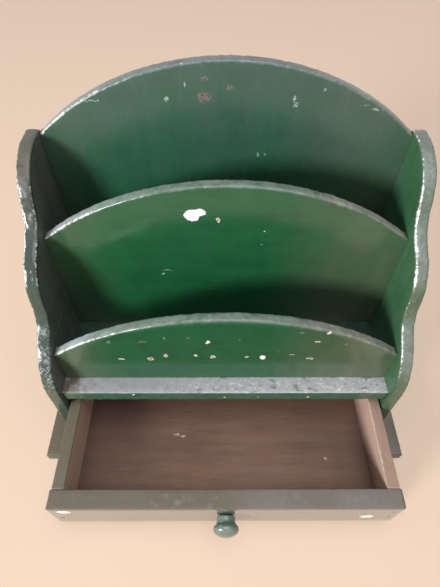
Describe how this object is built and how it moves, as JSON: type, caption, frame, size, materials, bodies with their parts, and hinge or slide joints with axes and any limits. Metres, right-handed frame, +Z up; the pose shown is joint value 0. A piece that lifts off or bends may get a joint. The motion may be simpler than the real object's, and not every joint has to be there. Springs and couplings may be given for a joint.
{
  "type": "letter rack",
  "caption": "Painted wooden letter rack with scrolled sides, arched dividers, a pen ledge and a shallow drawer with a turned knob.",
  "frame": {"origin": "centre of the base board's underside", "axes": "+X to the right along the boards, -Y out of the drawer's front, +Z up"},
  "size_m": [0.295, 0.2161, 0.262],
  "materials": {
    "green_paint": "thick dark green gloss paint brushed over wood, worn pale along the edges",
    "bare_wood": "bare reddish-brown softwood, darkened with age",
    "steel": "dull wire steel"
  },
  "bodies": {
    "rack": {"back_board": "green_paint", "left_side": "green_paint", "right_side": "green_paint", "middle_divider": "green_paint", "front_divider": "green_paint", "letter_shelf": "green_paint", "base_board": "green_paint", "shelf_pins": "steel", "middle_divider_pins": "steel", "front_divider_pins": "steel", "back_board_pins": "steel", "base_pins": "steel"},
    "drawer": {"drawer_front": "green_paint", "drawer_left_side": "bare_wood", "drawer_right_side": "bare_wood", "drawer_back": "bare_wood", "drawer_bottom": "bare_wood", "drawer_knob": "green_paint", "drawer_front_pins": "steel", "drawer_back_pins": "steel", "drawer_bottom_pins": "steel", "knob_screw": "steel"}
  },
  "joints": [
    {"name": "drawer_slide", "type": "slide", "parent": "rack", "child": "drawer", "axis": [0, -1, 0], "range_m": [-0.078, 0.016]}
  ]
}
